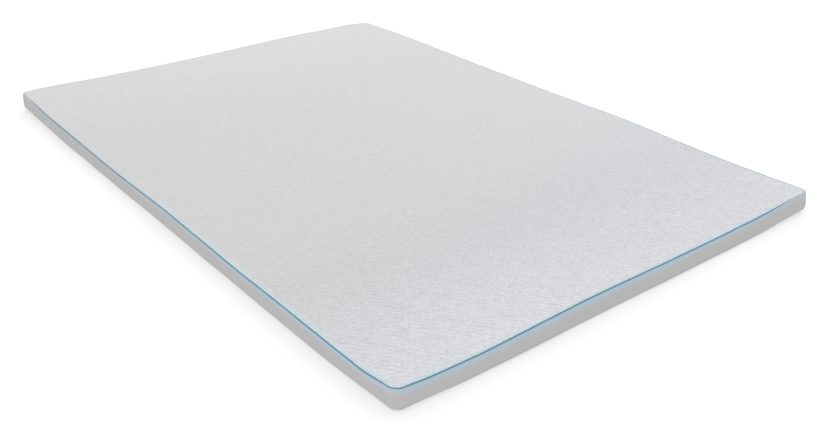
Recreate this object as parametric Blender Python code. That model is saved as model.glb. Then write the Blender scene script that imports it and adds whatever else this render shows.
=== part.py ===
"""Mattress topper: a foam pad in a sewn cover, lying flat.

Units are metres. X runs across the topper, Y along it and Z up. The origin is on the floor,
under the middle. All pieces follow one outline, a rounded rectangle, which is cut into
stations. A station is a point of the inner rectangle that the corner arcs turn about, and
the direction in which the side faces there. A section line, drawn at each station as pairs
of (out, height), runs up the side and then in over the top. Out is measured from the
outline, so it is negative inside it.
"""
import math
from collections import namedtuple

import bmesh
import bpy
from mathutils import Vector

NAME = "mattress_topper"

# The outline and the height of the top seam
WIDTH = 1.40
LENGTH = 2.00
CORNER_RADIUS = 0.034
SEAM_HEIGHT = 0.050
HALF_X = WIDTH / 2 - CORNER_RADIUS
HALF_Y = LENGTH / 2 - CORNER_RADIUS

# The cloth: what is sewn, how far the pieces stand apart, and how far the cut edges of
# the band and the panel stand from the middle of the piping
PIPING_RADIUS = 0.0014
PANEL_THICKNESS = 0.003
BAND_THICKNESS = 0.002
GAP = 0.0003
SEAM_ROOM = PIPING_RADIUS + 0.0004

# The side band is fullest low down, leans in to the seam and is turned under at its hem
BULGE_HEIGHT = 0.014
HEM_ROLL = 0.008
HEM_LIFT = 0.0006
SIDE_DRAW_IN = 0.003
END_DRAW_IN = 0.010

# The top panel rolls over from the seam, at a slope of RIM_ANGLE there
RIM_ANGLE = math.radians(38)
RIM_ROLL = 0.013
CROWN = 0.0015

# Where the side is pulled in, or out if negative: a place on the inner rectangle, how far
# in at the seam and at the floor, and how far along the side it reaches. The change from
# seam to floor goes with a power of the share below the seam, so it comes low down.
Pull = namedtuple("Pull", "x y at_seam at_floor reach power")
PULLS = (
    Pull(-HALF_X, -HALF_Y, 0.0026, 0.0112, 0.115, 4),
    Pull(-HALF_X, 0.023 - HALF_Y, 0.0055, -0.0020, 0.040, 4),
    Pull(HALF_X, -HALF_Y, 0.0012, 0.0186, 0.134, 9),
    Pull(0.45, -HALF_Y, 0.0, -0.0025, 0.32, 4),
    Pull(HALF_X, HALF_Y, 0.0095, 0.0110, 0.050, 4),
    Pull(-HALF_X, HALF_Y, 0.0022, 0.0134, 0.175, 8),
)

# How finely the shape is cut up
WIDTH_SPANS = 14
LENGTH_SPANS = 20
CORNER_SPANS = 5
HEM_SPANS = 4
SIDE_SPANS = 4
ROLL_SPANS = 3
SHARP_EDGE = math.radians(50)

# Soft rises and hollows of the pad: where each one is, how far it reaches, and how high
Swell = namedtuple("Swell", "x y reach rise")
SWELLS = (
    Swell(-0.48, -1.00, 0.14, -0.0032),
    Swell(-0.14, -1.00, 0.15, 0.0032),
    Swell(0.28, -1.00, 0.18, -0.0015),
    Swell(0.60, -1.02, 0.10, 0.0031),
    Swell(0.70, -0.76, 0.16, -0.0031),
    Swell(0.70, -0.34, 0.17, 0.0039),
    Swell(0.70, 0.38, 0.34, -0.0017),
    Swell(0.70, 0.93, 0.14, -0.0046),
    Swell(0.62, 1.00, 0.085, 0.0046),
    Swell(0.32, 1.00, 0.18, 0.0044),
    Swell(-0.18, 1.00, 0.22, -0.0017),
    Swell(-0.64, 1.00, 0.17, 0.0065),
    Swell(-0.70, 0.30, 0.20, -0.0040),
    Swell(-0.70, -0.05, 0.13, 0.0025),
    Swell(-0.70, -0.42, 0.10, -0.0022),
    Swell(-0.26, -0.44, 0.22, -0.0012),
    Swell(0.30, -0.12, 0.26, -0.0014),
    Swell(-0.22, 0.24, 0.24, 0.0010),
    Swell(0.24, 0.58, 0.26, 0.0008),
)

# Linear colour and roughness of each piece
PAD_FINISH = ((0.62, 0.62, 0.63), 0.95)
PANEL_FINISH = ((0.66, 0.67, 0.68), 0.95)
BAND_FINISH = ((0.49, 0.49, 0.49), 0.92)
PIPING_FINISH = ((0.10, 0.23, 0.32), 0.75)

Station = namedtuple("Station", "core facing")


def clear_scene():
    for old in list(bpy.data.objects):
        bpy.data.objects.remove(old, do_unlink=True)


def direction(angle):
    return Vector((math.cos(angle), math.sin(angle)))


def crowded(even):
    """Even steps from -1 to 1, moved towards the two ends, where the outline bends most."""
    return (even + math.sin(math.pi / 2 * even)) / 2


def outline():
    """The stations, anticlockwise from above: each side in turn, then the arc after it."""
    corners = [Vector((x * HALF_X, y * HALF_Y)) for x, y in ((-1, -1), (1, -1), (1, 1), (-1, 1))]
    stations = []
    for number, start in enumerate(corners):
        end = corners[(number + 1) % 4]
        spans = LENGTH_SPANS if number % 2 else WIDTH_SPANS
        faces_to = math.pi / 2 * (number - 1)
        for step in range(spans + 1):
            share = (1 + crowded(2 * step / spans - 1)) / 2
            stations.append(Station(start.lerp(end, share), direction(faces_to)))
        for step in range(1, CORNER_SPANS):
            turn = math.pi / 2 * step / CORNER_SPANS
            stations.append(Station(end, direction(faces_to + turn)))
    return stations


def swell(x, y):
    """How far the soft rises and hollows lift the top at a point of the plan."""
    return sum(
        each.rise * math.exp(-((x - each.x) ** 2 + (y - each.y) ** 2) / each.reach**2)
        for each in SWELLS
    )


def crown(x, y):
    return CROWN * (1 - (x / HALF_X) ** 2) * (1 - (y / HALF_Y) ** 2)


def pulled(station, out, height):
    """A point of a section after the pulls, which fade out over the flat of the top."""
    below_seam = max(0.0, 1 - height / SEAM_HEIGHT)
    pull = sum(
        (each.at_seam + (each.at_floor - each.at_seam) * below_seam**each.power)
        * math.exp(-(((station.core - Vector((each.x, each.y))).length / each.reach) ** 2))
        for each in PULLS
    )
    near_side = min(1.0, 2 * (1 + out / CORNER_RADIUS))
    return Vector((out - pull * near_side, height))


def place(station, out, height):
    """The point of the topper that a section line's (out, height) stands for."""
    spot = station.core + station.facing * (CORNER_RADIUS + out)
    lift = swell(spot.x, spot.y) * min(1.0, height / SEAM_HEIGHT)
    return Vector((spot.x, spot.y, height + lift))


def seam_point(station):
    """Where the seam is before the pulls; the ends are drawn in more than the sides."""
    draw_in = SIDE_DRAW_IN + (END_DRAW_IN - SIDE_DRAW_IN) * station.facing.y**2
    return Vector((-draw_in, SEAM_HEIGHT))


def band_line(station):
    """Outer face of the side band, from its hem up to just below the piping."""
    seam = seam_point(station)
    line = []
    for step in range(HEM_SPANS):
        turn = math.pi / 2 * (1 - step / HEM_SPANS)
        out = -HEM_ROLL * (1 - math.cos(turn))
        line.append(Vector((out, BULGE_HEIGHT - (BULGE_HEIGHT - HEM_LIFT) * math.sin(turn))))
    lean = math.atan2(-2 * seam.x, SEAM_HEIGHT - BULGE_HEIGHT)
    top = SEAM_HEIGHT - SEAM_ROOM * math.cos(lean)
    for step in range(SIDE_SPANS + 1):
        height = BULGE_HEIGHT + (top - BULGE_HEIGHT) * step / SIDE_SPANS
        climb = (height - BULGE_HEIGHT) / (SEAM_HEIGHT - BULGE_HEIGHT)
        line.append(Vector((seam.x * climb**2, height)))
    return [pulled(station, *point) for point in line]


def panel_line(station):
    """Outer face of the top panel, from beside the piping in to the inner rectangle."""
    outward = Vector((math.sin(RIM_ANGLE), math.cos(RIM_ANGLE)))
    along = Vector((math.cos(RIM_ANGLE), -math.sin(RIM_ANGLE)))
    edge = seam_point(station) - along * SEAM_ROOM
    middle = edge - outward * RIM_ROLL
    line = []
    for step in range(ROLL_SPANS + 1):
        slope = RIM_ANGLE * (1 - step / ROLL_SPANS)
        line.append(middle + RIM_ROLL * Vector((math.sin(slope), math.cos(slope))))
    line.append(Vector((-CORNER_RADIUS, line[-1].y)))
    return [pulled(station, *point) for point in line]


def inset(line, depth):
    """The same line at a depth below it, with its straight runs kept parallel."""
    shifted = []
    for number, point in enumerate(line):
        before = (point - line[number - 1]).normalized() if number else None
        after = (line[number + 1] - point).normalized() if number < len(line) - 1 else None
        before, after = before or after, after or before
        heading = (before + after).normalized()
        mitre = depth / heading.dot(after)
        shifted.append(point + Vector((-heading.y, heading.x)) * mitre)
    return shifted


def pad_section(station):
    """Face of the pad: the edge of its flat base, then just inside the band and the panel."""
    foot = pulled(station, -HEM_ROLL - BAND_THICKNESS - 2 * GAP, 0.0)
    side = inset(band_line(station), BAND_THICKNESS + GAP)
    top = inset(panel_line(station), PANEL_THICKNESS + GAP)
    return [foot, *side, *top]


def strip(bm, lower, upper):
    """Faces between two rows of points that both run all the way round."""
    for number in range(len(lower)):
        after = (number + 1) % len(lower)
        bm.faces.new((lower[number], lower[after], upper[after], upper[number]))


def loft(bm, stations, section):
    """Skin the section lines of neighbouring stations; return the rows of points."""
    lines = [section(station) for station in stations]
    rows = []
    for points in zip(*lines):
        row = [bm.verts.new(place(here, *point)) for here, point in zip(stations, points)]
        rows.append(row)
    for lower, upper in zip(rows, rows[1:]):
        strip(bm, lower, upper)
    return rows


def shell(bm, stations, face, thickness):
    """Both faces of a sheet, joined at the edge where the section lines start."""
    outer = loft(bm, stations, face)
    inner = loft(bm, stations, lambda station: inset(face(station), thickness))
    strip(bm, outer[0], inner[0])
    return outer, inner


def cover_top(bm, depth):
    """Fill the inner rectangle with a crowned grid, a depth below the top face."""
    rim_height = panel_line(outline()[0])[-1].y - depth
    made = bmesh.ops.create_grid(bm, x_segments=WIDTH_SPANS, y_segments=LENGTH_SPANS, size=1)
    for vert in made["verts"]:
        x, y = crowded(vert.co.x) * HALF_X, crowded(vert.co.y) * HALF_Y
        vert.co = Vector((x, y, rim_height + crown(x, y) + swell(x, y)))
    bmesh.ops.remove_doubles(bm, verts=bm.verts, dist=GAP / 10)


def finish(name, colour, roughness):
    material = bpy.data.materials.new(name)
    material.use_nodes = True
    shader = material.node_tree.nodes["Principled BSDF"]
    shader.inputs["Base Color"].default_value = (*colour, 1.0)
    shader.inputs["Roughness"].default_value = roughness
    shader.inputs["Metallic"].default_value = 0.0
    return material


def add_object(name, data, look, collection):
    piece = bpy.data.objects.new(name, data)
    data.materials.append(finish(name, *look))
    collection.objects.link(piece)
    return piece


def add_mesh(name, bm, look, collection):
    """Make the object; every quad is cut the same way, so that neighbours stay parallel."""
    bmesh.ops.triangulate(bm, faces=bm.faces, quad_method="FIXED")
    bmesh.ops.recalc_face_normals(bm, faces=bm.faces)
    mesh = bpy.data.meshes.new(name)
    bm.to_mesh(mesh)
    bm.free()
    mesh.shade_smooth()
    mesh.set_sharp_from_angle(angle=SHARP_EDGE)
    return add_object(name, mesh, look, collection)


def make_pad(stations, collection):
    bm = bmesh.new()
    rows = loft(bm, stations, pad_section)
    bm.faces.new(rows[0])
    cover_top(bm, PANEL_THICKNESS + GAP)
    add_mesh("pad", bm, PAD_FINISH, collection)


def make_top_panel(stations, collection):
    bm = bmesh.new()
    shell(bm, stations, panel_line, PANEL_THICKNESS)
    cover_top(bm, 0.0)
    cover_top(bm, PANEL_THICKNESS)
    add_mesh("top_panel", bm, PANEL_FINISH, collection)


def make_side_band(stations, collection):
    bm = bmesh.new()
    outer, inner = shell(bm, stations, band_line, BAND_THICKNESS)
    strip(bm, outer[-1], inner[-1])
    add_mesh("side_band", bm, BAND_FINISH, collection)


def make_piping(stations, collection):
    """A round cord in the seam, closed into a ring."""
    curve = bpy.data.curves.new("piping", "CURVE")
    curve.dimensions = "3D"
    curve.bevel_depth = PIPING_RADIUS
    curve.bevel_resolution = 2
    spline = curve.splines.new("POLY")
    spline.points.add(len(stations) - 1)
    for point, station in zip(spline.points, stations):
        seam = pulled(station, *seam_point(station))
        point.co = (*place(station, *seam), 1.0)
    spline.use_cyclic_u = True
    spline.use_smooth = True
    add_object("piping", curve, PIPING_FINISH, collection)


def main():
    clear_scene()
    collection = bpy.data.collections.new(NAME)
    bpy.context.scene.collection.children.link(collection)
    stations = outline()
    make_pad(stations, collection)
    make_top_panel(stations, collection)
    make_side_band(stations, collection)
    make_piping(stations, collection)


main()
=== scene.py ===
"""Looks of the mattress topper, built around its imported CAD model.

Units are metres, in the CAD's frame: X across the topper, Y along it and Z up, with the
origin on the floor under the middle. As in the CAD source, all pieces follow one outline,
which is cut into stations, and a section line runs up the side and in over the top as
(out, height) pairs, where out is measured from the outline. The comments say which sizes
are those of the CAD source and which forms are only here.
"""
import math
from collections import namedtuple

import bmesh
import bpy
import numpy as np
from mathutils import Matrix, Vector

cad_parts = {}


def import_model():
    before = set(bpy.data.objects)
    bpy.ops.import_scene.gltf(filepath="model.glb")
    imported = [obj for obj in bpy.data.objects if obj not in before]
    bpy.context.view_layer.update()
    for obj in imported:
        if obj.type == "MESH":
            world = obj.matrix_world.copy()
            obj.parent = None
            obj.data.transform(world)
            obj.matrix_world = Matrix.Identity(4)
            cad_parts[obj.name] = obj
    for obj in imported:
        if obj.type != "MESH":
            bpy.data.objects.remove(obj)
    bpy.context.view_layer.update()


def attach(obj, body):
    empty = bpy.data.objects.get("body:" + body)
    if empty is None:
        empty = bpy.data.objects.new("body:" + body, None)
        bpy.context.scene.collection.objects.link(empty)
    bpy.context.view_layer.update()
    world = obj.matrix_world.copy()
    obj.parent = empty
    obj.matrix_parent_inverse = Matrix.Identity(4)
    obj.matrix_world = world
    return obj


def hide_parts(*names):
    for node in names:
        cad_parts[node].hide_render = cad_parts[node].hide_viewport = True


# The outline, the seam and the cloth, as in the CAD source
WIDTH, LENGTH = 1.40, 2.00
CORNER_RADIUS = 0.034
SEAM_HEIGHT = 0.050
HALF_X = WIDTH / 2 - CORNER_RADIUS
HALF_Y = LENGTH / 2 - CORNER_RADIUS
PIPING_RADIUS = 0.0014
PANEL_THICKNESS = 0.003
BAND_THICKNESS = 0.002
BULGE_HEIGHT = 0.014
HEM_ROLL = 0.008
HEM_LIFT = 0.0006
SIDE_DRAW_IN = 0.003
END_DRAW_IN = 0.010
RIM_ANGLE = math.radians(38)
RIM_ROLL = 0.013
CROWN = 0.0015

# Where the side is pulled in, or out if negative, as in the CAD source: a place on the
# inner rectangle, how far in at the seam and at the floor, and how far along the side it
# reaches. The higher the power, the lower down the change from seam to floor comes.
Pull = namedtuple("Pull", "x y at_seam at_floor reach power")
PULLS = (
    Pull(-HALF_X, -HALF_Y, 0.0026, 0.0112, 0.115, 4),
    Pull(-HALF_X, 0.023 - HALF_Y, 0.0055, -0.0020, 0.040, 4),
    Pull(HALF_X, -HALF_Y, 0.0012, 0.0186, 0.134, 9),
    Pull(0.45, -HALF_Y, 0.0, -0.0025, 0.32, 4),
    Pull(HALF_X, HALF_Y, 0.0095, 0.0110, 0.050, 4),
    Pull(-HALF_X, HALF_Y, 0.0022, 0.0134, 0.175, 8),
)

# Soft rises and hollows of the pad, as in the CAD source; the last one is only here
Swell = namedtuple("Swell", "x y reach rise")
SWELLS = (
    Swell(-0.48, -1.00, 0.14, -0.0032),
    Swell(-0.14, -1.00, 0.15, 0.0032),
    Swell(0.28, -1.00, 0.18, -0.0015),
    Swell(0.60, -1.02, 0.10, 0.0031),
    Swell(0.70, -0.76, 0.16, -0.0031),
    Swell(0.70, -0.34, 0.17, 0.0039),
    Swell(0.70, 0.38, 0.34, -0.0017),
    Swell(0.70, 0.93, 0.14, -0.0046),
    Swell(0.62, 1.00, 0.085, 0.0046),
    Swell(0.32, 1.00, 0.18, 0.0044),
    Swell(-0.18, 1.00, 0.22, -0.0017),
    Swell(-0.64, 1.00, 0.17, 0.0065),
    Swell(-0.70, 0.30, 0.20, -0.0040),
    Swell(-0.70, -0.05, 0.13, 0.0025),
    Swell(-0.70, -0.42, 0.10, -0.0022),
    Swell(-0.26, -0.44, 0.22, -0.0012),
    Swell(0.30, -0.12, 0.26, -0.0014),
    Swell(-0.22, 0.24, 0.24, 0.0010),
    Swell(0.24, 0.58, 0.26, 0.0008),
    Swell(0.70, -0.62, 0.25, -0.0022),
)

# Only here: where the seam runs a little higher or lower, as a place on the inner
# rectangle, the way the side faces there, how much higher, and how far along the side
Rise = namedtuple("Rise", "x y facing_x facing_y rise reach")
RISES = (
    Rise(-HALF_X, -HALF_Y, -0.97, -0.24, 0.0040, 0.014),
    Rise(-HALF_X, -0.91, -1.0, 0.0, -0.0022, 0.040),
    Rise(HALF_X, -HALF_Y, 0.0, -1.0, 0.0022, 0.100),
    Rise(HALF_X, -0.74, 1.0, 0.0, 0.0020, 0.36),
    Rise(-HALF_X, HALF_Y, -1.0, 0.0, 0.0020, 0.18),
)

# Only here: where the piping sinks out of sight between the panel and the band, 0 to 1
Sink = namedtuple("Sink", "x y facing_x facing_y depth reach")
SINKS = (
    Sink(-HALF_X, HALF_Y, -1.0, 0.0, 1.0, 0.140),
    Sink(HALF_X, -HALF_Y, 0.0, -1.0, 1.0, 0.105),
    Sink(-HALF_X, -HALF_Y, -0.71, -0.71, 0.45, 0.015),
)

# Only here: soft irregular lines round the outline, each the sum of a few waves
Wave = namedtuple("Wave", "count size phase")
BAND_FULLNESS = (
    Wave(9, 0.0004, 0.7), Wave(17, 0.0005, 2.1), Wave(31, 0.0004, 4.4), Wave(53, 0.0002, 1.3)
)
BAND_GATHERS = (Wave(263, 0.00010, 0.4), Wave(337, 0.00012, 2.9), Wave(431, 0.00010, 5.1))
PANEL_GATHERS = (Wave(251, 0.00012, 1.0), Wave(349, 0.00014, 3.3), Wave(419, 0.00012, 0.2))
PIPING_WANDER = (Wave(37, 0.00012, 0.3), Wave(61, 0.00012, 2.2), Wave(97, 0.00008, 4.0))
PIPING_UNEVENNESS = (Wave(43, 0.03, 1.0), Wave(79, 0.03, 3.0))

# How finely the outline and the top are cut up, and how near points are joined
WIDTH_SPANS = 167
LENGTH_SPANS = 193
CORNER_SPANS = 12
MERGE_DISTANCE = 1e-6

# The side band's section. Its top edge stands under the middle of the piping and closes up
# where the piping sinks, both in piping radii. The tuck is given as (out, height) from that
# edge. The rows crowd towards the seam, below which the cloth puffs out a little.
BAND_ROOM = 0.8
BAND_CLOSES = 0.9
BAND_TUCK = ((-0.0024, 0.0002), (-0.0010, 0.0003))
BAND_SPANS = 13
BAND_CROWDING = 1.8
PUFF = 0.0007
PUFF_DEPTH = 0.0035
HEM_SPANS = 9
HEM_TUCK = 0.0022

# The top panel's section: as the band's, with its edge up the slope from the piping
PANEL_ROOM = 0.9
PANEL_CLOSES = 1.6
PANEL_TUCK = ((-0.0022, -0.0022), (-0.0008, -0.0012))
RIM_SPANS = 8
FLAT_SPANS = 3
RIM_CLIMB = RIM_ROLL * (1 - math.cos(RIM_ANGLE))
RIM_HEIGHT = SEAM_HEIGHT + PANEL_ROOM * PIPING_RADIUS * math.sin(RIM_ANGLE) + RIM_CLIMB

# The knit of the top panel: small raised blisters in staggered rows, one to two spans. They
# run this far out over the rim, past the inner rectangle, and fade there.
BLISTER_X = 2 * (2 * HALF_X / WIDTH_SPANS)
BLISTER_Y = 2 * (2 * HALF_Y / LENGTH_SPANS)
BLISTER_RISE = 0.0009
BLISTER_LEAN = 0.72
BLISTER_MARGIN_X = 0.024
BLISTER_MARGIN_Y = 0.018
BLISTER_FADE = 0.012

# The piping: how finely it is cut up, and how far it goes in and down where it sinks
PIPING_SIDES = 14
PIPING_SINKS_IN = 0.0030
PIPING_SINKS_DOWN = 0.0004

# The pad's section, just inside the cloth. The shoulder is given as (out from the seam,
# height from the top).
PAD_FROM_BAND = 0.0006
PAD_FROM_PANEL = 0.001
PAD_ROLL = 0.006
PAD_BASE_OUT = -HEM_ROLL - BAND_THICKNESS - PAD_FROM_BAND - PAD_ROLL / 2
PAD_ROLL_SPANS = 4
PAD_SIDE_CLIMBS = np.linspace(0.15, 1, 8)
PAD_SIDE_IN = 0.0045
PAD_SIDE_FOOT = 0.4 * BULGE_HEIGHT
PAD_SIDE_TOP = SEAM_HEIGHT - 0.008
PAD_TOP = SEAM_HEIGHT + RIM_CLIMB - PANEL_THICKNESS - PAD_FROM_PANEL
PAD_SHOULDER = ((-0.009, -0.0045), (-0.014, -0.001))
PAD_FLAT_OUT = -0.030
PAD_WIDTH_SPANS = 33
PAD_LENGTH_SPANS = 48

# The width and height of a stitch in each knit, how much of its relief is in the loops,
# and the pitch of the piping's twill
PANEL_STITCH = (0.0013, 0.0011)
BAND_STITCH = (0.0012, 0.0010)
BASE_STITCH = (0.0016, 0.0014)
LOOP_SHARE = 0.6
TWILL_PITCH = 0.0009

# How high a pattern stands, and the fuzz on it
Relief = namedtuple("Relief", "rise fuzz_scale fuzz_rise")
BAND_RELIEF = Relief(0.00010, 800.0, 0.00005)
BASE_RELIEF = Relief(0.00012, 700.0, 0.00006)
PIPING_RELIEF = Relief(0.00004, 900.0, 0.00005)

# Soft clouds in the colour
CLOUD_SPREAD = (0.3, 0.7)
BAND_CLOUD_SCALE = 14.0
BAND_CLOUD_STRENGTH = 0.4

# The finer relief of the top panel. Four values are the range that goes in and the range
# that comes out, here and below.
DOME_DRIFT = 0.0030
DOME_DRIFT_SCALE = 9.0
DOME_SPREAD = (-0.8, 0.9)
DOME_UNEVENNESS = (0.3, 0.7, 0.5, 2.0)
DOME_UNEVENNESS_SCALE = 48.0
GRAIN_SCALE = 500.0
GRAIN_STRETCH = 4.0
GRAIN_RISE = 0.0016
PANEL_STITCH_RISE = 0.00010
RELIEF_ALONG = (-0.95, -0.25, 1.3, 0.68)

# How the top panel's colour changes over the topper, as painted light: cooler painted light
# towards the front and more painted light at both ends. With its relief, the hollows between
# the blisters are painted in shade, partly the knit's own darker hollows, and the grain varies
PAINTED_COOL_LIGHT_SLANT = -0.3
PAINTED_COOL_LIGHT_ALONG = (-0.1, -0.9, 0.0, 0.5)
PAINTED_LIGHT_AT_FRONT = (-0.55, -1.0, 0.0, 0.68)
PAINTED_LIGHT_ACROSS = (-0.3, 0.6, 1.0, 0.7)
PAINTED_LIGHT_AT_BACK = (0.45, 0.85, 0.0, 0.12)
# Painted shade: the hollows between the blisters darker and their tops lighter, partly the knit's own
# tone
DOME_SHADE = (0.0, 1.0, -0.023, 0.020)
GRAIN_SHADE = (0.33, 0.67, -0.085, 0.085)

# Painted light beside the seam: the cloth there is painted lighter and bluer, a painted
# highlight with a painted reflection of the blue piping. How wide and how strong it is, what is
# left of it at the far end, and how it weakens to the right
PANEL_PAINTED_SEAM_LIGHT = (0.018, 0.85)
BAND_PAINTED_SEAM_LIGHT = (0.019, 0.95)
PAINTED_SEAM_LIGHT_ALONG = (-0.7, 0.8)
PAINTED_SEAM_LIGHT_LEFT_FAR = 0.2
PAINTED_SEAM_LIGHT_ACROSS = (0.45, 0.69, 1.0, 0.3)

# Linear colours
PANEL_GREY = (0.632, 0.635, 0.639)
# Painted light: the panel's colour in the painted cool light and in the painted light at both ends
PANEL_PAINTED_COOL_LIGHT = (0.635, 0.642, 0.702)
PANEL_PAINTED_LIGHT = (0.770, 0.779, 0.814)
# Painted blue light beside the seam, on the panel
PANEL_PAINTED_BLUE_LIGHT = (0.565, 0.765, 0.845)
BAND_GROUND = (0.455, 0.453, 0.453)
BAND_LOOPS = (0.505, 0.503, 0.503)
BAND_CLOUDS = (0.475, 0.47, 0.47)
# Painted blue light beside the seam, on the band
BAND_PAINTED_BLUE_LIGHT = (0.430, 0.580, 0.690)
PIPING_GROUND = (0.100, 0.220, 0.290)
PIPING_TWILL = (0.130, 0.265, 0.345)
BASE_GROUND = (0.58, 0.58, 0.59)
BASE_LOOPS = (0.65, 0.65, 0.66)
FLOOR_DARKER = (0.60, 0.60, 0.60)
FLOOR_LIGHTER = (0.61, 0.61, 0.61)
WHITE = (1.0, 1.0, 1.0, 1.0)

# What all the materials share
SPECULAR = 0.25
SHEEN_ROUGHNESS = 0.5

# The camera, from the fit to the topper's edges in the photo
CAMERA_AT = (-1.5727, -2.1278, 1.1732)
CAMERA_YAW = 0.681593
CAMERA_PITCH = 0.481444
CAMERA_ROLL = 0.01165847
CAMERA_LENS_PX = 971.05
CAMERA_CLIP_END = 50
PHOTO_WIDTH_PX = 829
SENSOR_MM = 36.0

# The studio
Softbox = namedtuple("Softbox", "name at towards size power colour")
SOFTBOXES = (
    Softbox("softbox_front", (-3.9, -3.1, 3.0), (0, 0, 0), (2.6, 2.0), 45, (1, 1, 1)),
    Softbox("softbox_back", (0.4, 2.4, 3.0), (0.0, 0.6, 0), (2.0, 2.0), 26, (1.0, 0.97, 0.90)),
    Softbox("softbox_right", (2.6, -0.4, 2.6), (0.5, -0.1, 0), (2.5, 2.5), 27, (0.97, 0.965, 1.0)),
)
WORLD_STRENGTH = 0.78
FLOOR_REACH = 60
FLOOR_SPANS = 8
FLOOR_GLOW = 0.42
FLOOR_CLOUD_SCALE = 1.5
FLOOR_RELIEF = 0.0001

Outline = namedtuple("Outline", "core facing along length")


# Shapes

def outline():
    """The stations, anticlockwise from above, and how far along the outline each one is."""
    corners = [np.array((x * HALF_X, y * HALF_Y)) for x, y in ((-1, -1), (1, -1), (1, 1), (-1, 1))]
    core, facing, along = [], [], []
    travelled = 0.0
    for number, start in enumerate(corners):
        end = corners[(number + 1) % 4]
        side = np.linalg.norm(end - start)
        spans = LENGTH_SPANS if number % 2 else WIDTH_SPANS
        faces_to = math.pi / 2 * (number - 1)
        for step in range(spans + 1):
            share = step / spans
            core.append(start + (end - start) * share)
            facing.append((math.cos(faces_to), math.sin(faces_to)))
            along.append(travelled + side * share)
        travelled += side
        for step in range(1, CORNER_SPANS):
            turn = math.pi / 2 * step / CORNER_SPANS
            core.append(end)
            facing.append((math.cos(faces_to + turn), math.sin(faces_to + turn)))
            along.append(travelled + CORNER_RADIUS * turn)
        travelled += CORNER_RADIUS * math.pi / 2
    return Outline(np.array(core), np.array(facing), np.array(along), travelled)


def swell(x, y):
    return sum(s.rise * np.exp(-((x - s.x) ** 2 + (y - s.y) ** 2) / s.reach**2) for s in SWELLS)


def crown(x, y):
    return CROWN * (1 - (x / HALF_X) ** 2) * (1 - (y / HALF_Y) ** 2)


def ease(value):
    """0 to 1 with a soft start and end."""
    t = np.clip(value, 0, 1)
    return t * t * (3 - 2 * t)


def ripple(ring, waves):
    """A soft irregular line round the outline."""
    turn = 2 * math.pi * ring.along / ring.length
    return sum(wave.size * np.sin(wave.count * turn + wave.phase) for wave in waves)


def blisters(x, y):
    """The relief of the knit, from -1 between the blisters to 1 on them.

    Two sets of slanting ribs cross; the blisters lean along the deeper set.
    """
    across, up = 2 * math.pi * x / BLISTER_X, 2 * math.pi * y / BLISTER_Y
    return BLISTER_LEAN * np.cos(across + up) + (1 - BLISTER_LEAN) * np.cos(across - up)


def pull(ring, height):
    """How far the side is pulled in at each station, at a height."""
    below_seam = np.maximum(0, 1 - height / SEAM_HEIGHT)
    x, y = ring.core.T
    return sum(
        (each.at_seam + (each.at_floor - each.at_seam) * below_seam**each.power)
        * np.exp(-((x - each.x) ** 2 + (y - each.y) ** 2) / each.reach**2)
        for each in PULLS
    )


def place(ring, out, height):
    """Points of the topper at one row of (out, height) values, one for each station.

    A pull keeps its full size as far in as half of the corner radius, and nothing of it is
    left on the inner rectangle.
    """
    near_side = np.minimum(1, 2 * (1 + out / CORNER_RADIUS))
    spot = ring.core + ring.facing * (CORNER_RADIUS + out - pull(ring, height) * near_side)[:, None]
    x, y = spot.T
    lift = swell(x, y) * np.clip(height / SEAM_HEIGHT, 0, 1)
    return np.column_stack((x, y, height + lift))


def seam_out(ring):
    """How far out the seam is: the ends are drawn in more than the sides."""
    return -(SIDE_DRAW_IN + (END_DRAW_IN - SIDE_DRAW_IN) * ring.facing[:, 1] ** 2)


def near(ring, spot):
    """1 where the side passes a spot and faces its way, easing to 0 away from it."""
    x, y = ring.core.T
    faces_it = np.maximum(0, ring.facing @ (spot.facing_x, spot.facing_y))
    return faces_it**3 * np.exp(-((x - spot.x) ** 2 + (y - spot.y) ** 2) / spot.reach**2)


def seam_height(ring):
    return SEAM_HEIGHT + sum(each.rise * near(ring, each) for each in RISES)


def hidden(ring):
    """How far the piping sinks between the panel and the band, from 0 to 1."""
    return sum(each.depth * near(ring, each) for each in SINKS)


def flat_grid(width_spans, length_spans):
    """The x and y of a grid over the inner rectangle."""
    across = np.linspace(-HALF_X, HALF_X, width_spans + 1)
    up = np.linspace(-HALF_Y, HALF_Y, length_spans + 1)
    return np.meshgrid(across, up, indexing="ij")


def squares(knots):
    """The four corners of each square of a grid, anticlockwise from above."""
    for i in range(knots.shape[0] - 1):
        for j in range(knots.shape[1] - 1):
            yield knots[i, j], knots[i + 1, j], knots[i + 1, j + 1], knots[i, j + 1]


def new_object(name, mesh, replaces):
    piece = bpy.data.objects.new(name, mesh)
    bpy.context.scene.collection.objects.link(piece)
    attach(piece, "root")
    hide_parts(replaces)
    return piece


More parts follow.
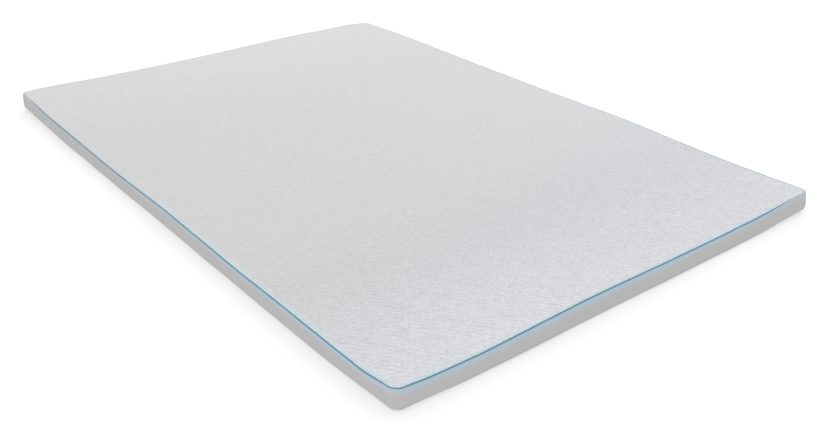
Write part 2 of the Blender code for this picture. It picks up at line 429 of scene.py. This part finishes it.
class Builder:
    """Points and faces of one mesh, with a cloth map in metres along and across the cloth."""

    def __init__(self):
        self.points, self.faces, self.corners = [], [], []

    def add_points(self, points):
        first = len(self.points)
        self.points.extend(map(tuple, points))
        return np.arange(first, len(self.points))

    def add_face(self, corners, places):
        self.faces.append(tuple(int(c) for c in corners))
        self.corners.extend(places)

    def add_strip(self, ring, lower, upper, low_across, high_across):
        """Faces between two rows that run all the way round."""
        for here in range(len(lower)):
            after = (here + 1) % len(lower)
            start = ring.along[here]
            end = ring.along[after] if after else ring.length
            self.add_face(
                (lower[here], lower[after], upper[after], upper[here]),
                ((start, low_across), (end, low_across), (end, high_across), (start, high_across)),
            )

    def add_rows(self, ring, lines):
        """Skin a section, given as one (out, height) pair of arrays for each row.

        Return the width of the cloth from the first row to the last, at the first station.
        """
        rows = [self.add_points(place(ring, out, height)) for out, height in lines]
        across = 0.0
        for number in range(1, len(rows)):
            (last_out, last_height), (out, height) = lines[number - 1:number + 1]
            step = math.hypot(out[0] - last_out[0], height[0] - last_height[0])
            self.add_strip(ring, rows[number - 1], rows[number], across, across + step)
            across += step
        return across

    def mesh(self, name, flip=False):
        mesh = bpy.data.meshes.new(name)
        mesh.from_pydata(self.points, [], self.faces)
        layer = mesh.uv_layers.new(name="Cloth")
        layer.uv.foreach_set("vector", np.array(self.corners, np.float32).ravel())
        bm = bmesh.new()
        bm.from_mesh(mesh)
        bmesh.ops.remove_doubles(bm, verts=bm.verts, dist=MERGE_DISTANCE)
        if flip:
            bmesh.ops.reverse_faces(bm, faces=bm.faces)
        bm.to_mesh(mesh)
        bm.free()
        mesh.shade_smooth()
        return mesh


def band_lines(ring):
    """Outer face of the side band, from inside the seam down over the bulge and round the hem."""
    seam = seam_out(ring)
    level = np.ones_like(seam)
    full, gather = ripple(ring, BAND_FULLNESS), ripple(ring, BAND_GATHERS)
    top = seam_height(ring) - PIPING_RADIUS * (BAND_ROOM - BAND_CLOSES * hidden(ring))
    lines = [(seam + out, top + height) for out, height in BAND_TUCK]
    for step in range(BAND_SPANS + 1):
        drop = (top - BULGE_HEIGHT) * (step / BAND_SPANS) ** BAND_CROWDING
        climb = 1 - drop / (top - BULGE_HEIGHT)
        puff = PUFF * drop / PUFF_DEPTH * np.exp(1 - drop / PUFF_DEPTH)
        lines.append((seam * climb**2 + full * (1 - climb**2) + gather * climb**3 + puff, top - drop))
    for step in range(1, HEM_SPANS + 1):
        turn = math.pi / 2 * step / HEM_SPANS
        height = BULGE_HEIGHT - (BULGE_HEIGHT - HEM_LIFT) * math.sin(turn)
        lines.append((-HEM_ROLL * (1 - math.cos(turn)) + full * math.cos(turn), level * height))
    lines.append((level * (-HEM_ROLL - HEM_TUCK), level * HEM_TUCK))
    return lines


def make_band(ring):
    build = Builder()
    build.add_rows(ring, band_lines(ring))
    return new_object("border_band", build.mesh("border_band", flip=True), "side_band")


def panel_lines(ring):
    """Outer face of the top panel, from inside the seam out over its rim and in to the middle."""
    gather = ripple(ring, PANEL_GATHERS)
    steepness, flatness = math.sin(RIM_ANGLE), math.cos(RIM_ANGLE)
    room = PIPING_RADIUS * (PANEL_ROOM - PANEL_CLOSES * hidden(ring))
    edge_out = seam_out(ring) - flatness * room
    edge_height = seam_height(ring) + steepness * room
    lines = [(edge_out + out, edge_height + height) for out, height in PANEL_TUCK]
    for step in range(RIM_SPANS + 1):
        slope = RIM_ANGLE * (1 - step / RIM_SPANS)
        climbed = (math.cos(slope) - flatness) / (1 - flatness)
        lines.append((
            edge_out - RIM_ROLL * (steepness - math.sin(slope)),
            edge_height + (RIM_HEIGHT - edge_height) * climbed + gather * (1 - step / RIM_SPANS),
        ))
    flat_out, flat_height = lines[-1]
    for step in range(1, FLAT_SPANS + 1):
        lines.append((flat_out + (-CORNER_RADIUS - flat_out) * step / FLAT_SPANS, flat_height))
    return lines


def smooth_top(x, y):
    """Points of the top before its blisters."""
    return np.column_stack((x, y, RIM_HEIGHT + crown(x, y) + swell(x, y)))


def add_flat(build, rim_width):
    """The panel inside its rim, in squares that are each cut in four from the middle."""
    x, y = flat_grid(WIDTH_SPANS, LENGTH_SPANS)
    knots = build.add_points(smooth_top(x.ravel(), y.ravel())).reshape(x.shape)
    mid_x, mid_y = ((each[:-1, :-1] + each[1:, 1:]) / 2 for each in (x, y))
    middles = build.add_points(smooth_top(mid_x.ravel(), mid_y.ravel()))

    def on_cloth(corner):
        x, y, _ = build.points[corner]
        return x, rim_width + min(HALF_X - abs(x), HALF_Y - abs(y))

    for square, middle in zip(squares(knots), middles):
        for here, after in zip(square, square[1:] + square[:1]):
            face = (here, after, middle)
            build.add_face(face, [on_cloth(corner) for corner in face])


def raise_blisters(build):
    x, y, z = np.array(build.points).T
    inside = np.minimum(HALF_X + BLISTER_MARGIN_X - abs(x), HALF_Y + BLISTER_MARGIN_Y - abs(y))
    raised = BLISTER_RISE / 2 * blisters(x + HALF_X, y + HALF_Y) * ease(inside / BLISTER_FADE)
    build.points = list(map(tuple, np.column_stack((x, y, z + raised))))


def make_panel(ring):
    build = Builder()
    rim_width = build.add_rows(ring, panel_lines(ring))
    add_flat(build, rim_width)
    raise_blisters(build)
    return new_object("top_cloth", build.mesh("top_cloth"), "top_panel")


def make_piping(ring):
    """A round trim in the seam, with slight changes in its thickness and its place."""
    build = Builder()
    sunk = hidden(ring)
    middle_out = seam_out(ring) - PIPING_SINKS_IN * sunk + ripple(ring, PIPING_WANDER)
    middle_height = seam_height(ring) - PIPING_SINKS_DOWN * sunk
    radius = PIPING_RADIUS * (1 + ripple(ring, PIPING_UNEVENNESS))
    rows = []
    for step in range(PIPING_SIDES):
        angle = 2 * math.pi * step / PIPING_SIDES
        out = middle_out + radius * math.cos(angle)
        height = middle_height + radius * math.sin(angle)
        rows.append(build.add_points(place(ring, out, height)))
    girth = 2 * math.pi * PIPING_RADIUS / PIPING_SIDES
    for step, (row, after) in enumerate(zip(rows, rows[1:] + rows[:1])):
        build.add_strip(ring, row, after, girth * step, girth * (step + 1))
    return new_object("seam_piping", build.mesh("seam_piping"), "piping")


def pad_lines(ring):
    """The pad's surface, from under its base out, up its side and in to its top."""
    seam = seam_out(ring)
    level = np.ones_like(seam)
    lines = [(level * -CORNER_RADIUS, level * 0.0), (level * PAD_BASE_OUT, level * 0.0)]
    for step in range(1, PAD_ROLL_SPANS + 1):
        turn = math.pi / 2 * step / PAD_ROLL_SPANS
        out = PAD_BASE_OUT + PAD_ROLL * math.sin(turn)
        lines.append((level * out, level * PAD_ROLL * (1 - math.cos(turn))))
    for climb in PAD_SIDE_CLIMBS:
        height = PAD_SIDE_FOOT + (PAD_SIDE_TOP - PAD_SIDE_FOOT) * climb
        lines.append((seam * climb**2 - PAD_SIDE_IN, level * height))
    lines.extend((seam + out, level * (PAD_TOP + height)) for out, height in PAD_SHOULDER)
    lines.append((level * PAD_FLAT_OUT, level * PAD_TOP))
    lines.append((level * -CORNER_RADIUS, level * PAD_TOP))
    return lines


def make_pad(ring):
    """The foam body in its base cloth: a closed form just inside the band and the panel."""
    build = Builder()
    build.add_rows(ring, pad_lines(ring))
    grid_x, grid_y = flat_grid(PAD_WIDTH_SPANS, PAD_LENGTH_SPANS)
    x, y = grid_x.ravel(), grid_y.ravel()
    for height, order in ((PAD_TOP + crown(x, y) + swell(x, y), 1), (0 * x, -1)):
        knots = build.add_points(np.column_stack((x, y, height))).reshape(grid_x.shape)
        for square in squares(knots):
            loop = square[::order]
            build.add_face(loop, [build.points[corner][:2] for corner in loop])
    return new_object("foam_pad", build.mesh("foam_pad"), "pad")


# Materials

class Nodes:
    """Short names for making and joining a material's nodes."""

    def __init__(self, name):
        self.material = bpy.data.materials.new(name)
        self.material.use_nodes = True
        self.tree = self.material.node_tree
        self.shader = self.tree.nodes["Principled BSDF"]

    def add(self, kind, **settings):
        node = self.tree.nodes.new("ShaderNode" + kind)
        for key, value in settings.items():
            setattr(node, key, value)
        return node

    def put(self, socket, value):
        if isinstance(value, bpy.types.NodeSocket):
            self.tree.links.new(value, socket)
        else:
            socket.default_value = value

    def math(self, operation, *values):
        node = self.add("Math", operation=operation)
        for socket, value in zip(node.inputs, values):
            self.put(socket, value)
        return node.outputs[0]

    def split(self, vector):
        node = self.add("SeparateXYZ")
        self.put(node.inputs[0], vector)
        return node.outputs

    def noise(self, vector, scale, detail=2.0):
        node = self.add("TexNoise")
        self.put(node.inputs["Vector"], vector)
        node.inputs["Scale"].default_value = scale
        node.inputs["Detail"].default_value = detail
        return node.outputs[0]

    def wave(self, value, pitch):
        """Cosine of a coordinate, one turn for each pitch."""
        return self.math("COSINE", self.math("MULTIPLY", value, 2 * math.pi / pitch))

    def remap(self, value, low, high, new_low=0.0, new_high=1.0, smooth=False):
        node = self.add("MapRange", interpolation_type="SMOOTHSTEP" if smooth else "LINEAR")
        self.put(node.inputs["Value"], value)
        for name, number in (
            ("From Min", low), ("From Max", high), ("To Min", new_low), ("To Max", new_high)
        ):
            node.inputs[name].default_value = number
        return node.outputs[0]

    def mix(self, share, first, second):
        """Each colour is a socket or three values."""
        node = self.add("Mix", data_type="RGBA")
        self.put(node.inputs["Factor"], share)
        for name, colour in (("A", first), ("B", second)):
            socket = next(s for s in node.inputs if s.name == name and s.type == "RGBA")
            self.put(socket, (*colour, 1.0) if isinstance(colour, tuple) else colour)
        return next(s for s in node.outputs if s.type == "RGBA")

    def scaled(self, colour, factor):
        node = self.add("VectorMath", operation="SCALE")
        self.put(node.inputs[0], colour)
        self.put(node.inputs["Scale"], factor)
        return node.outputs[0]

    def bump(self, height):
        """Height is in metres."""
        node = self.add("Bump")
        node.inputs["Strength"].default_value = 1.0
        node.inputs["Distance"].default_value = 1.0
        self.put(node.inputs["Height"], height)
        return node.outputs[0]

    def along_ribs(self, vector, stretch):
        """Coordinates that draw a pattern out along the deeper ribs of the knit."""
        node = self.add("Mapping", vector_type="TEXTURE")
        self.put(node.inputs["Vector"], vector)
        node.inputs["Rotation"].default_value[2] = math.atan2(-BLISTER_Y, BLISTER_X)
        node.inputs["Scale"].default_value[0] = stretch
        return node.outputs[0]

    def cloth_map(self):
        return self.add("UVMap", uv_map="Cloth").outputs[0]

    def position(self):
        return self.add("TexCoord").outputs["Object"]

    def finish(self, colour, height, roughness, sheen=0.0):
        self.put(self.shader.inputs["Base Color"], colour)
        self.put(self.shader.inputs["Normal"], self.bump(height))
        self.put(self.shader.inputs["Roughness"], roughness)
        self.shader.inputs["Specular IOR Level"].default_value = SPECULAR
        self.shader.inputs["Sheen Weight"].default_value = sheen
        self.shader.inputs["Sheen Roughness"].default_value = SHEEN_ROUGHNESS
        return self.material


def knit_stitches(nodes, x, y, wale, course):
    """Rows of knit stitches, from 0 to 1; each is a V that leans with its wale."""
    lean = nodes.math("ABSOLUTE", nodes.wave(x, 2 * wale))
    slanted = nodes.math("MULTIPLY_ADD", lean, course / 2, y)
    both = nodes.math("MULTIPLY_ADD", nodes.wave(slanted, course), LOOP_SHARE, nodes.wave(x, wale))
    return nodes.remap(both, -1 - LOOP_SHARE, 1 + LOOP_SHARE)


def with_fuzz(nodes, pattern, relief):
    """Height of a pattern in metres, with fuzz on it."""
    height = nodes.math("MULTIPLY", pattern, relief.rise)
    fuzz = nodes.noise(nodes.position(), relief.fuzz_scale)
    return nodes.math("MULTIPLY_ADD", fuzz, relief.fuzz_rise, height)


def painted_seam_light(nodes, from_seam, reach, strength):
    """Painted light beside the seam: strongest at the seam, easing to 0 into the cloth; weaker to the
    far end and the right.
    """
    x, y, _ = nodes.split(nodes.position())
    far = nodes.remap(y, *PAINTED_SEAM_LIGHT_ALONG, strength, PAINTED_SEAM_LIGHT_LEFT_FAR * strength, smooth=True)
    fade = nodes.math("MULTIPLY", far, nodes.remap(x, *PAINTED_SEAM_LIGHT_ACROSS, smooth=True))
    return nodes.math("MULTIPLY", nodes.remap(from_seam, 0.0, reach, 1.0, 0.0, smooth=True), fade)


def knit_domes(nodes, x, y):
    """The blisters again, from 0 to 1, for what the mesh is too coarse to show.

    They drift a little from place to place, so that their rows aren't too even.
    """
    turns = []
    for coordinate, half, pitch, drift in (
        (x, HALF_X, BLISTER_X, DOME_DRIFT), (y, HALF_Y, BLISTER_Y, -DOME_DRIFT)
    ):
        wander = nodes.noise(nodes.position(), DOME_DRIFT_SCALE, detail=1.0)
        moved = nodes.math("MULTIPLY_ADD", wander, drift, coordinate)
        turns.append(nodes.math("MULTIPLY", nodes.math("ADD", moved, half - drift / 2), 1 / pitch))
    across, up = turns
    deep = nodes.math("MULTIPLY", nodes.wave(nodes.math("ADD", across, up), 1.0), BLISTER_LEAN)
    shallow = nodes.wave(nodes.math("SUBTRACT", across, up), 1.0)
    both = nodes.math("MULTIPLY_ADD", shallow, 1 - BLISTER_LEAN, deep)
    return nodes.remap(both, *DOME_SPREAD, smooth=True)


def panel_height(nodes, x, y, dome, grain):
    """Height of the finer relief in metres: uneven domes, grain along the ribs and stitches."""
    patches = nodes.noise(nodes.position(), DOME_UNEVENNESS_SCALE)
    uneven = nodes.math("MULTIPLY", dome, nodes.remap(patches, *DOME_UNEVENNESS))
    stitches = knit_stitches(nodes, x, y, *PANEL_STITCH)
    height = nodes.math("MULTIPLY", uneven, BLISTER_RISE)
    height = nodes.math("MULTIPLY_ADD", grain, GRAIN_RISE, height)
    return nodes.math("MULTIPLY_ADD", stitches, PANEL_STITCH_RISE, height)


def panel_colour(nodes, x, y):
    """Painted light: cooler towards the front, and a little lighter at both ends."""
    cool = nodes.remap(nodes.math("MULTIPLY_ADD", x, PAINTED_COOL_LIGHT_SLANT, y), *PAINTED_COOL_LIGHT_ALONG, smooth=True)
    front = nodes.remap(y, *PAINTED_LIGHT_AT_FRONT, smooth=True)
    front = nodes.math("MULTIPLY", front, nodes.remap(x, *PAINTED_LIGHT_ACROSS))
    light = nodes.math("ADD", front, nodes.remap(y, *PAINTED_LIGHT_AT_BACK, smooth=True))
    return nodes.mix(light, nodes.mix(cool, PANEL_GREY, PANEL_PAINTED_COOL_LIGHT), PANEL_PAINTED_LIGHT)


def panel_material():
    """The knit stands out most at the near end, in its relief and alike in its painted shade and
    grain.
    """
    nodes = Nodes("knit_panel_look")
    x, y, _ = nodes.split(nodes.position())
    _, from_seam, _ = nodes.split(nodes.cloth_map())
    dome = knit_domes(nodes, x, y)
    grain = nodes.noise(nodes.along_ribs(nodes.position(), GRAIN_STRETCH), GRAIN_SCALE)
    relief = nodes.remap(y, *RELIEF_ALONG, smooth=True)
    height = nodes.math("MULTIPLY", panel_height(nodes, x, y, dome, grain), relief)
    # Painted shade: the hollows between the blisters darker and their tops lighter, partly the knit's
    # own tone; the grain adds its own tone
    painted_shade_and_grain = nodes.math("ADD", nodes.remap(dome, *DOME_SHADE), nodes.remap(grain, *GRAIN_SHADE))
    painted_shade_and_grain = nodes.math("MULTIPLY_ADD", painted_shade_and_grain, relief, 1.0)
    colour = nodes.scaled(panel_colour(nodes, x, y), painted_shade_and_grain)
    # Painted light: the cloth beside the seam painted lighter and bluer
    colour = nodes.mix(painted_seam_light(nodes, from_seam, *PANEL_PAINTED_SEAM_LIGHT), colour, PANEL_PAINTED_BLUE_LIGHT)
    return nodes.finish(colour, height, roughness=0.92, sheen=0.10)


def band_material():
    nodes = Nodes("band_cloth_look")
    along, from_seam, _ = nodes.split(nodes.cloth_map())
    stitches = knit_stitches(nodes, along, from_seam, *BAND_STITCH)
    height = with_fuzz(nodes, stitches, BAND_RELIEF)
    clouds = nodes.noise(nodes.position(), BAND_CLOUD_SCALE, detail=3.0)
    clouds = nodes.math("MULTIPLY", nodes.remap(clouds, *CLOUD_SPREAD), BAND_CLOUD_STRENGTH)
    colour = nodes.mix(clouds, nodes.mix(stitches, BAND_GROUND, BAND_LOOPS), BAND_CLOUDS)
    # Painted light: the cloth beside the seam painted lighter and bluer
    colour = nodes.mix(painted_seam_light(nodes, from_seam, *BAND_PAINTED_SEAM_LIGHT), colour, BAND_PAINTED_BLUE_LIGHT)
    return nodes.finish(colour, height, roughness=0.9, sheen=0.08)


def piping_material():
    nodes = Nodes("piping_cord_look")
    along, around, _ = nodes.split(nodes.cloth_map())
    twill = nodes.wave(nodes.math("ADD", along, around), TWILL_PITCH)
    height = with_fuzz(nodes, twill, PIPING_RELIEF)
    colour = nodes.mix(nodes.remap(twill, -1, 1), PIPING_GROUND, PIPING_TWILL)
    return nodes.finish(colour, height, roughness=0.7, sheen=0.1)


def base_material():
    nodes = Nodes("base_cloth_look")
    x, y, _ = nodes.split(nodes.position())
    stitches = knit_stitches(nodes, x, y, *BASE_STITCH)
    height = with_fuzz(nodes, stitches, BASE_RELIEF)
    colour = nodes.mix(stitches, BASE_GROUND, BASE_LOOPS)
    return nodes.finish(colour, height, roughness=0.93, sheen=0.08)


def floor_material():
    """A pale floor that is lit a little from below, as on a light table."""
    nodes = Nodes("floor_look")
    clouds = nodes.noise(nodes.position(), FLOOR_CLOUD_SCALE, detail=3.0)
    clouds = nodes.remap(clouds, *CLOUD_SPREAD)
    colour = nodes.mix(clouds, FLOOR_DARKER, FLOOR_LIGHTER)
    nodes.shader.inputs["Emission Color"].default_value = WHITE
    nodes.shader.inputs["Emission Strength"].default_value = FLOOR_GLOW
    return nodes.finish(colour, nodes.math("MULTIPLY", clouds, FLOOR_RELIEF), roughness=0.9)


# The stage

def make_camera():
    camera = bpy.data.cameras.new("camera")
    camera.sensor_width = SENSOR_MM
    camera.lens = CAMERA_LENS_PX / PHOTO_WIDTH_PX * SENSOR_MM
    camera.clip_end = CAMERA_CLIP_END
    forward = Vector((
        math.sin(CAMERA_YAW) * math.cos(CAMERA_PITCH),
        math.cos(CAMERA_YAW) * math.cos(CAMERA_PITCH),
        -math.sin(CAMERA_PITCH),
    ))
    level = Vector((math.cos(CAMERA_YAW), -math.sin(CAMERA_YAW), 0))
    above = level.cross(forward)
    right = math.cos(CAMERA_ROLL) * level + math.sin(CAMERA_ROLL) * above
    up = math.cos(CAMERA_ROLL) * above - math.sin(CAMERA_ROLL) * level
    turn = Matrix((right, up, -forward)).transposed().to_4x4()
    holder = bpy.data.objects.new("camera", camera)
    holder.matrix_world = Matrix.Translation(CAMERA_AT) @ turn
    bpy.context.scene.collection.objects.link(holder)
    bpy.context.scene.camera = holder


def make_light(softbox):
    light = bpy.data.lights.new(softbox.name, "AREA")
    light.shape = "RECTANGLE"
    light.size, light.size_y = softbox.size
    light.energy = softbox.power
    light.color = softbox.colour
    holder = bpy.data.objects.new(softbox.name, light)
    holder.location = softbox.at
    aim = Vector(softbox.towards) - Vector(softbox.at)
    holder.rotation_euler = aim.to_track_quat("-Z", "Y").to_euler()
    bpy.context.scene.collection.objects.link(holder)


def make_world():
    world = bpy.data.worlds.new("studio")
    bpy.context.scene.world = world
    world.use_nodes = True
    background = world.node_tree.nodes["Background"]
    background.inputs["Color"].default_value = WHITE
    background.inputs["Strength"].default_value = WORLD_STRENGTH


def make_floor():
    mesh = bpy.data.meshes.new("floor")
    bm = bmesh.new()
    bmesh.ops.create_grid(bm, x_segments=FLOOR_SPANS, y_segments=FLOOR_SPANS, size=FLOOR_REACH)
    bm.to_mesh(mesh)
    bm.free()
    floor = bpy.data.objects.new("floor", mesh)
    mesh.materials.append(floor_material())
    bpy.context.scene.collection.objects.link(floor)


def main():
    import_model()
    make_camera()
    ring = outline()
    looks = (
        (make_pad(ring), base_material()),
        (make_panel(ring), panel_material()),
        (make_band(ring), band_material()),
        (make_piping(ring), piping_material()),
    )
    for piece, material in looks:
        piece.data.materials.append(material)
    make_world()
    for softbox in SOFTBOXES:
        make_light(softbox)
    make_floor()
    bpy.context.scene.view_settings.view_transform = "Standard"


main()
